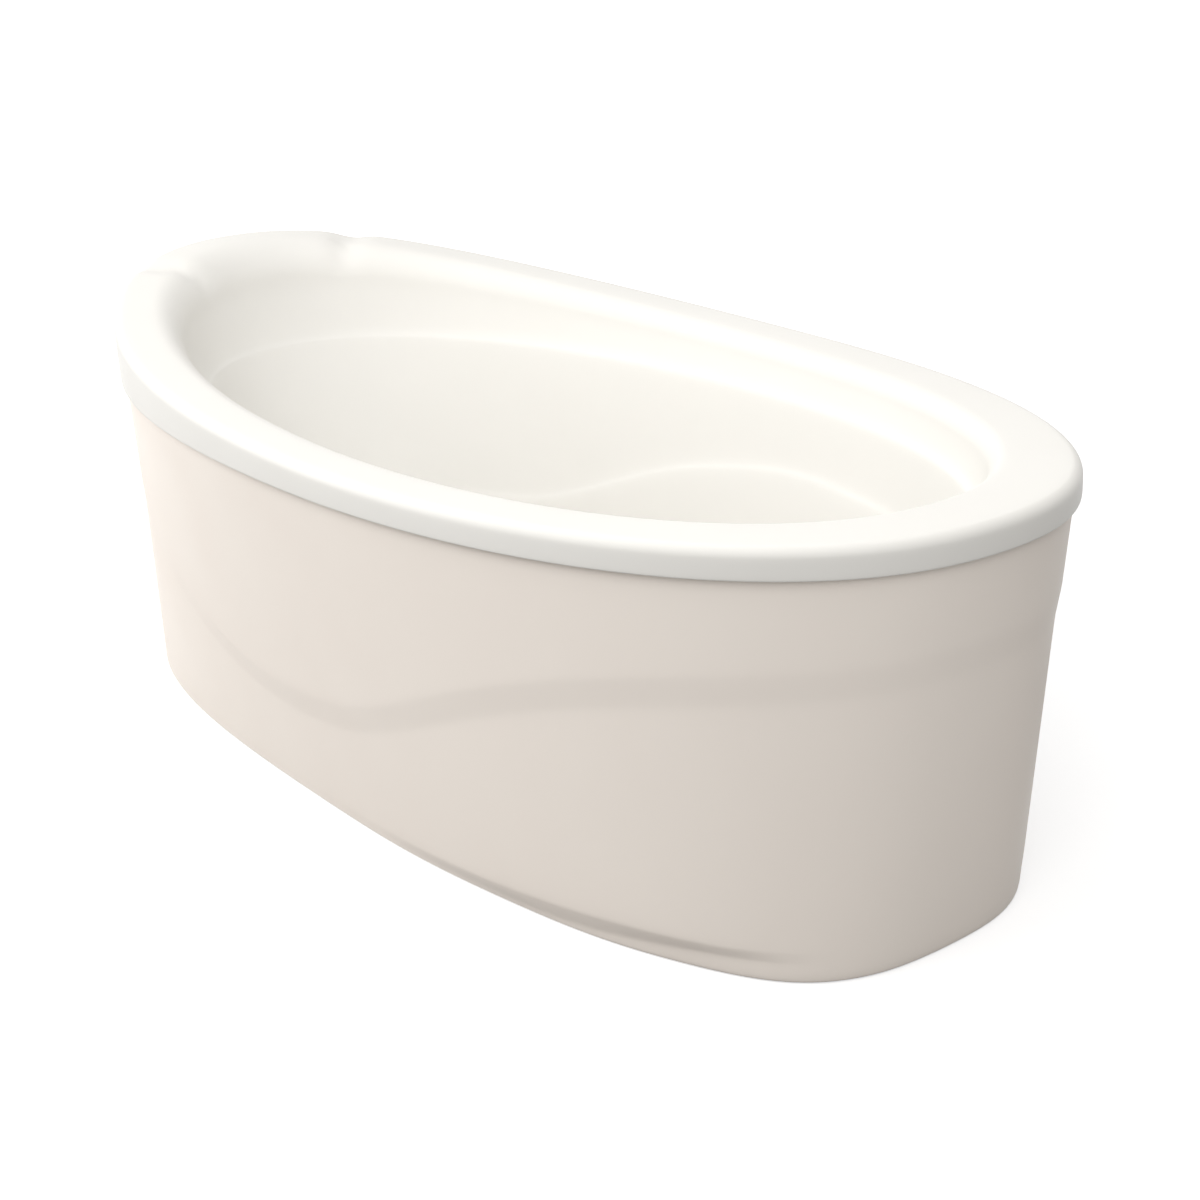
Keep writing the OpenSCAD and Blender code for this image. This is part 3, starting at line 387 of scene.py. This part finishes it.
def shellSection(t):
    # from the drain over the floor, up the wall, over the rim and back underneath
    wall, soft, edge = tub["wall"], tub["edgeSoft"], tub["edgeRadius"]
    arm = mix(*tub["armZ"], turned(t, *tub["armTurn"]))
    armDrop, armLip, armTop = tub["armLevels"]
    armSink, armRise = tub["armUnder"]
    armIn = wallIn(arm + tub["armEdge"])
    lowIn = moved(wallIn(arm), tub["armStep"])
    lowEnd = moved(tub["wallBottom"], tub["bottomStep"])
    fillet, floorZ = tub["filletRadius"], tub["floorZ"]
    seatZ = floorZ - tub["recessDepth"]
    section = [
        drainPoint(t, tub["drainHole"], seatZ - soft),
        drainPoint(t, tub["drainHole"] + soft, seatZ),
        drainPoint(t, tub["recessRadius"] - soft, seatZ),
        drainPoint(t, tub["recessRadius"], seatZ + soft),
        drainPoint(t, tub["recessRadius"] + soft, floorZ),
        drainPoint(t, tub["recessRadius"] + tub["recessRing"], floorZ),
        floorPoint(t, 0, floorZ),
        floorPoint(t, 0.5, floorZ + tub["floorFall"] / 2)]
    for a in quarter(90, 0, 4):
        section.append(basinPoint(t, moved(lowEnd, fillet * (1 - math.cos(a))),
                                  floorZ + tub["floorFall"] * math.sin(a)
                                  + fillet * (1 - math.sin(a))))
    section += [
        basinPoint(t, lowIn, arm + armDrop),
        flatPoint(t, moved(armIn, tub["armEdge"]), arm + armLip),
        flatPoint(t, armIn, arm + armTop),
        flatPoint(t, wallIn((arm + wallTopZ) / 2), (arm + wallTopZ) / 2),
        flatPoint(t, wallIn(wallTopZ), wallTopZ),
        flatPoint(t, moved(tub["ledgeIn"], tub["ledgeWidth"]), tub["ledgeZ"] - tub["ledgeFall"]),
        basinPoint(t, moved(tub["ledgeIn"], tub["ledgeSoft"][0]),
                   tub["ledgeZ"] - tub["ledgeSoft"][1])]
    for a in quarter(90, 0, 6):
        section.append(rimPoint(t, moved(tub["rimFlat"], tub["rollIn"], math.sin(a)),
                                tub["basinSquare"], rollDown(t, a), grooveShare(a)))
    for a in quarter(90, 0, 5):
        section.append(rimPoint(t, (edge * (1 - math.cos(a)),) * 3, tub["rimSquare"],
                                edge * (1 - math.sin(a)), math.sin(a)))
    for inset, up in (*tub["bandEdge"], (wall - 1, 0), (wall, 1)):
        x, y = insetPoint(t, (inset,) * 3, tub["rimSquare"])
        section.append((x, y, bandZ + up))
    for a in quarter(0, 90, 4):
        section.append(rimPoint(t, (edge - (edge - wall) * math.cos(a),) * 3, tub["rimSquare"],
                                edge - (edge - wall) * math.sin(a), math.sin(a)))
    for a in quarter(0, 90, 4):
        section.append(rimPoint(
            t, moved(tub["rimFlat"], moved(tub["rollIn"], -wall), math.sin(a)),
            tub["basinSquare"], rollDown(t, a) + wall * math.cos(a), grooveShare(a)))
    section += [
        basinPoint(t, moved(tub["ledgeIn"], -wall), tub["ledgeZ"] - wall / 2),
        flatPoint(t, moved(wallIn(wallTopZ - wall), -wall), wallTopZ - wall),
        flatPoint(t, moved(wallIn(arm + armRise), -wall), arm + armRise),
        basinPoint(t, moved(lowIn, -wall), arm + armSink)]
    for a in quarter(0, 90, 3):
        section.append(basinPoint(
            t, moved(lowEnd, fillet - (fillet + wall) * math.cos(a)),
            floorZ + fillet - (fillet + wall) * math.sin(a)))
    section += [
        floorPoint(t, 0.5, floorZ - wall),
        floorPoint(t, 0, floorZ - wall),
        drainPoint(t, tub["drainHole"] + soft, floorZ - wall),
        drainPoint(t, tub["drainHole"], floorZ - wall + soft)]
    return section


def overflowTurn():
    # the overflow's axis leaves the toe wall square, as in the CAD
    lean = math.atan2((tub["wallBottom"][0] - wallIn(wallTopZ)[0]) * tub["padShare"],
                      wallTopZ - wallLowZ)
    return Euler((0, lean - math.pi / 2, 0)).to_matrix().to_4x4()


overflow = {"z": 412, "holeRadius": 26, "holeSides": 48, "cutDepth": 24}
overflowX = (tub["halfLength"] - wallIn(overflow["z"])[0]) * tub["padShare"]
overflowPlace = Matrix.Translation(Vector((overflowX, 0, overflow["z"])) * mm) @ overflowTurn()


def makeTubShell():
    shell = subdivided(finishMesh(sectionRings(shellSection), "tubShell", shellAcrylic), 2)
    applyModifiers(shell)
    cutter = bmesh.new()
    radius = overflow["holeRadius"] * mm
    bmesh.ops.create_cone(cutter, cap_ends=True, segments=overflow["holeSides"], radius1=radius,
                          radius2=radius, depth=2 * overflow["cutDepth"] * mm,
                          matrix=overflowPlace)
    cutterPiece = finishMesh(cutter, "overflowCutter", shellAcrylic)
    hole = shell.modifiers.new("hole", "BOOLEAN")
    hole.operation = "DIFFERENCE"
    hole.solver = "EXACT"
    hole.object = cutterPiece
    applyModifiers(shell)
    bpy.data.objects.remove(cutterPiece)
    return shell


tubShell = makeTubShell()
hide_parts("tub_shell")
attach(tubShell, "tub")
print("tub shell made")


# Apron

apron = {
    "wall": 4, "topIn": (12, 12, 12), "topShare": 0.62, "topGap": 0.6, "soft": 3,
    "baseIn": (63, 86, 14), "baseSquare": 2.82, "baseEgg": -0.058,
    "waveHighZ": 382, "waveDip": 214, "waveAt": 92, "waveSpread": (28, 33), "wavePower": 1.6,
    "proud": 4, "toeShare": 0.65, "toeTurn": (0, 60), "headShare": 0.4, "headTurn": (92, 120),
    "faceHeight": 35, "faceShare": 0.6, "faceSoft": (1, 0.3),
    "kickDepth": 12, "kickInTurn": (21, 47), "kickOutTurn": (90, 66),
    "lipHeight": (40, 17), "lipTurn": (46, 92), "lipSoft": 4,
    "stepHeight": 17, "stepTurn": (35, 70), "stepFoot": 2,
    "kickProfile": ((0, 0.08), (0.4, 0.46), (0.75, 0.88), (1, 1)),  # shares of drop and depth
}


def waveZ(t):
    off = folded(t) - apron["waveAt"]
    spread = apron["waveSpread"][0 if off < 0 else 1]
    return apron["waveHighZ"] - apron["waveDip"] * math.exp(
        -(abs(off) / spread) ** apron["wavePower"])


def waveShare(t):
    # whole step at the sides, less at both ends
    return (mix(apron["toeShare"], 1, turned(t, *apron["toeTurn"]))
            * mix(1, apron["headShare"], turned(t, *apron["headTurn"])))


def kickShare(t):
    return turned(t, *apron["kickInTurn"]) * turned(t, *apron["kickOutTurn"])


def apronPoint(t, z, out):
    top = insetPoint(t, apron["topIn"], tub["rimSquare"])
    baseIn = apron["baseIn"]
    base = outlineAt(t, tub["halfLength"] - baseIn[0], tub["halfWidth"] - baseIn[1],
                     tub["halfLength"] - baseIn[2], apron["baseSquare"], apron["baseEgg"])
    share = max(0, (bandZ - z) / bandZ)
    way = outwardAt(t, tub["rimSquare"])
    return (mix(top[0], base[0], share) + way.x * out,
            mix(top[1], base[1], share) + way.y * out, z)


def apronSection(t):
    wall, proud, soft = apron["wall"], apron["proud"], apron["soft"]
    x, y, _ = apronPoint(t, tub["rimZ"], 0)
    topZ = (rimTop(t) - grooveAt(x, y) - tub["edgeRadius"]
            + (tub["edgeRadius"] - tub["wall"]) * apron["topShare"] - apron["topGap"])
    wave, step = waveZ(t), proud * waveShare(t)
    faceZ = wave - apron["faceHeight"] * mix(apron["faceShare"], 1, waveShare(t))
    # the kick recess: from the toe end's corner to the side its lip sinks and its step slants
    kick = apron["kickDepth"] * kickShare(t)
    lipZ = mix(*apron["lipHeight"], turned(t, *apron["lipTurn"]))
    drop = mix(apron["stepHeight"], lipZ - apron["stepFoot"], turned(t, *apron["stepTurn"]))
    down, out = apron["faceSoft"]
    upper = [mix(wave, bandZ, share) for share in (0.75, 0.5, 0.25)]
    levels = [(topZ, proud), (topZ - 1, proud), (bandZ, proud)]
    levels += [(z, mix(step, proud, (z - wave) / (bandZ - wave))) for z in upper]
    levels += [(wave + soft, step), (wave - down, step - out), (faceZ + down, out),
               (faceZ - soft, 0)]
    levels += [(mix(faceZ, lipZ, share), 0) for share in (0.25, 0.5, 0.75)]
    levels += [(lipZ + apron["lipSoft"], 0)]
    levels += [(lipZ - fall * drop, -depth * kick) for fall, depth in apron["kickProfile"]]
    levels += [(0, -kick)]
    return ([apronPoint(t, z, off) for z, off in levels]
            + [apronPoint(t, z, off - wall) for z, off in reversed(levels)])


def makeApron():
    return subdivided(finishMesh(sectionRings(apronSection), "apronPanel", apronAcrylicPaintedLighter), 2)


apronPanel = makeApron()
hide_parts("apron")
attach(apronPanel, "tub")
print("apron made")


# Overflow hose and the plug's cable, on the same route as in the CAD

route = {"bend": 75, "inletZ": 87, "hoseEndX": 542, "cableEndX": 526, "cableY": 23,
         "topDrop": 66, "back": 27, "gap": 0.2}
hose = {"crest": 14, "rib": 2, "bore": 2, "pitch": 9, "sides": 24, "ringsPerRib": 6}
cable = {"radius": 2.5, "sides": 12, "spacing": 8}
leanAngle = math.pi / 2 + overflowTurn().to_euler().y
hoseX = overflowX + route["back"] * math.cos(leanAngle)
hoseTopZ = overflow["z"] - route["topDrop"]


def routeLength(endX):
    bend = route["bend"]
    return hoseTopZ - route["inletZ"] - bend + bend * math.pi / 2 + hoseX - bend - endX


def routeAt(s):
    # centre of the route and the direction that points to the inner side of its bend
    bend = route["bend"]
    drop, arc = hoseTopZ - route["inletZ"] - bend, bend * math.pi / 2
    if s < drop:
        return (hoseX, hoseTopZ - s), (-1, 0)
    if s < drop + arc:
        a = (s - drop) / bend
        return ((hoseX - bend + bend * math.cos(a), route["inletZ"] + bend - bend * math.sin(a)),
                (-math.cos(a), math.sin(a)))
    return (hoseX - bend - (s - drop - arc), route["inletZ"]), (0, 1)


def routePoint(s, y, radius, a):
    centre, inner = routeAt(s)
    return Vector((centre[0] + inner[0] * radius * math.cos(a), y + radius * math.sin(a),
                   centre[1] + inner[1] * radius * math.cos(a))) * mm


def makeHose():
    length = routeLength(route["hoseEndX"]) - 2 * route["gap"]
    ribs = math.floor(length / hose["pitch"])
    count = ribs * hose["ringsPerRib"]
    valley = hose["crest"] - hose["rib"]
    radii = [valley + hose["rib"] * (0.5 - 0.5 * math.cos(2 * math.pi * i / hose["ringsPerRib"]))
             for i in range(count + 1)]
    steps = [route["gap"] + length * i / count for i in range(count + 1)]
    inside = valley - hose["bore"]
    rows = list(zip(steps, radii)) + [(s, inside) for s in steps[::-hose["ringsPerRib"]]]

    def placeAt(number, row):
        return routePoint(rows[row][0], 0, rows[row][1], 2 * math.pi * number / hose["sides"])

    return finishMesh(grownRings(hose["sides"], len(rows), placeAt), "overflowHose",
                      finishes["hose_plastic"])


def makeCable():
    length = routeLength(route["cableEndX"]) - 2 * route["gap"]
    count = math.ceil(length / cable["spacing"])

    def placeAt(number, row):
        return routePoint(route["gap"] + length * row / count, route["cableY"],
                          cable["radius"], 2 * math.pi * number / cable["sides"])

    bm = grownRings(cable["sides"], count + 1, placeAt, closed=False)
    bmesh.ops.holes_fill(bm, edges=bm.edges, sides=cable["sides"])
    return finishMesh(bm, "plugCable", finishes["cable_sheath"])


for piece, node, slot in ((makeHose(), "overflow_hose", "hose_plastic"),
                          (makeCable(), "plug_cable", "cable_sheath")):
    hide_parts(node)
    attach(piece, "tub")
print("hose and cable made")


# Stage: pale floor, white surroundings, soft lamps and the camera at the photograph's angle

stage = {
    "floorSize": 60, "floorDrop": 0.5,
    "floorColour": (0.35, 0.35, 0.35, 1),  # what lights the tub from below
    "shadowColour": (0.6, 0.6, 0.6, 1),  # what is seen, with the glow added to it
    "nearGlow": 0.55, "farGlow": 0.84, "glowReach": (1.1, 2.4),
    "underGlow": 0.85, "underReach": (0.74, 0.31), "underFade": (0.8, 1.0),
    "worldLight": 0.49, "worldTint": (1, 0.99, 0.98, 1), "white": (1, 1, 1, 1),
}


def seenShare(tree):
    # 1 on rays that show the background: from the camera, off metal and gloss, through glass
    path = addNode(tree, "ShaderNodeLightPath")
    seen = addNode(tree, "ShaderNodeMath", {"operation": "MAXIMUM"}, {
        0: path.outputs["Is Camera Ray"], 1: path.outputs["Is Glossy Ray"]})
    return addNode(tree, "ShaderNodeMath", {"operation": "MAXIMUM"}, {
        0: seen.outputs[0], 1: path.outputs["Is Transmission Ray"]}).outputs[0]


def makeFloor():
    bm = bmesh.new()
    bmesh.ops.create_grid(bm, x_segments=1, y_segments=1, size=stage["floorSize"] / 2,
                          matrix=Matrix.Translation((0, 0, -stage["floorDrop"] * mm)))
    material, tree = emptyMaterial("studioFloor")
    plain = addNode(tree, "ShaderNodeBsdfDiffuse", inputs={"Color": stage["floorColour"]})
    shadowed = addNode(tree, "ShaderNodeBsdfDiffuse", inputs={"Color": stage["shadowColour"]})
    place = addNode(tree, "ShaderNodeTexCoord")
    reach = addNode(tree, "ShaderNodeVectorMath", {"operation": "LENGTH"}, {
        0: place.outputs["Object"]})
    glow = addNode(tree, "ShaderNodeMapRange", inputs={
        "Value": reach.outputs["Value"], "From Min": stage["glowReach"][0],
        "From Max": stage["glowReach"][1], "To Min": stage["nearGlow"], "To Max": stage["farGlow"]})
    white = addNode(tree, "ShaderNodeEmission", inputs={
        "Color": stage["white"], "Strength": glow.outputs["Result"]})
    pale = addNode(tree, "ShaderNodeAddShader", inputs={
        0: shadowed.outputs[0], 1: white.outputs[0]})
    # clear from below, with a soft light inside the apron's foot, so that the underside can be seen
    under = addNode(tree, "ShaderNodeVectorMath", {"operation": "DIVIDE"}, {
        0: place.outputs["Object"], 1: (*stage["underReach"], 1)})
    underReach = addNode(tree, "ShaderNodeVectorMath", {"operation": "LENGTH"}, {
        0: under.outputs["Vector"]})
    underGlow = addNode(tree, "ShaderNodeMapRange", inputs={
        "Value": underReach.outputs["Value"], "From Min": stage["underFade"][0],
        "From Max": stage["underFade"][1], "To Min": stage["underGlow"], "To Max": 0})
    underLight = addNode(tree, "ShaderNodeEmission", inputs={
        "Color": stage["white"], "Strength": underGlow.outputs["Result"]})
    bounced = addNode(tree, "ShaderNodeAddShader", inputs={
        0: plain.outputs[0], 1: underLight.outputs[0]})
    mixed = addNode(tree, "ShaderNodeMixShader", inputs={
        0: seenShare(tree), 1: bounced.outputs[0], 2: pale.outputs[0]})
    side = addNode(tree, "ShaderNodeNewGeometry")
    clear = addNode(tree, "ShaderNodeBsdfTransparent")
    oneSided = addNode(tree, "ShaderNodeMixShader", inputs={
        0: side.outputs["Backfacing"], 1: mixed.outputs[0], 2: clear.outputs[0]})
    addNode(tree, "ShaderNodeOutputMaterial", inputs={"Surface": oneSided.outputs[0]})
    floor = finishMesh(bm, "studioFloor", material, smooth=False)


def makeWorld():
    world = bpy.data.worlds.new("studioWorld")
    bpy.context.scene.world = world
    world.use_nodes = True
    tree = world.node_tree
    tree.nodes.clear()
    light = addNode(tree, "ShaderNodeBackground", inputs={
        "Color": stage["worldTint"], "Strength": stage["worldLight"]})
    white = addNode(tree, "ShaderNodeBackground", inputs={
        "Color": stage["white"], "Strength": 1.0})
    mixed = addNode(tree, "ShaderNodeMixShader", inputs={
        0: seenShare(tree), 1: light.outputs[0], 2: white.outputs[0]})
    addNode(tree, "ShaderNodeOutputWorld", inputs={"Surface": mixed.outputs[0]})


lamps = [  # place, point it looks at, size in metres, watts
    {"name": "keyLamp", "at": (-0.6, -2.7, 3.0), "to": (0, 0, 0.3), "size": 2.6, "power": 34},
    {"name": "leftLamp", "at": (-2.6, -2.6, 1.9), "to": (0, 0, 0.3), "size": 2.8, "power": 70},
    {"name": "fillLamp", "at": (2.4, -1.6, 2.6), "to": (0.2, 0, 0.3), "size": 2.8, "power": 43},
    {"name": "topLamp", "at": (0.2, 0.1, 3.0), "to": (0, 0, 0.2), "size": 2.6, "power": 25},
]


def makeLamp(lamp):
    data = bpy.data.lights.new(lamp["name"], "AREA")
    data.shape = "DISK"
    data.size = lamp["size"]
    data.energy = lamp["power"]
    lampObject = bpy.data.objects.new(lamp["name"], data)
    lampObject.location = lamp["at"]
    lampObject.rotation_euler = (Vector(lamp["to"]) - Vector(lamp["at"])).to_track_quat(
        "-Z", "Y").to_euler()
    bpy.context.collection.objects.link(lampObject)


camera = {"azimuth": 53.97, "elevation": 20.47, "distance": 2.6296, "roll": -2.62,
          "lookAt": (0.049, 0.0759, 0.1945), "lens": 56.2, "sensor": 36}


def makeCamera():
    azimuth, elevation = math.radians(camera["azimuth"]), math.radians(camera["elevation"])
    back = Vector((math.sin(azimuth) * math.cos(elevation),
                   -math.cos(azimuth) * math.cos(elevation), math.sin(elevation)))
    data = bpy.data.cameras.new("photoCamera")
    data.lens = camera["lens"]
    data.sensor_width = camera["sensor"]
    view = bpy.data.objects.new("photoCamera", data)
    view.location = Vector(camera["lookAt"]) + back * camera["distance"]
    turn = (-back).to_track_quat("-Z", "Y").to_matrix() @ Matrix.Rotation(
        math.radians(camera["roll"]), 3, "Z")
    view.rotation_euler = turn.to_euler()
    bpy.context.collection.objects.link(view)
    bpy.context.scene.camera = view


makeFloor()
makeWorld()
for lamp in lamps:
    makeLamp(lamp)
makeCamera()
bpy.context.scene.view_settings.view_transform = "Standard"
print("stage made")
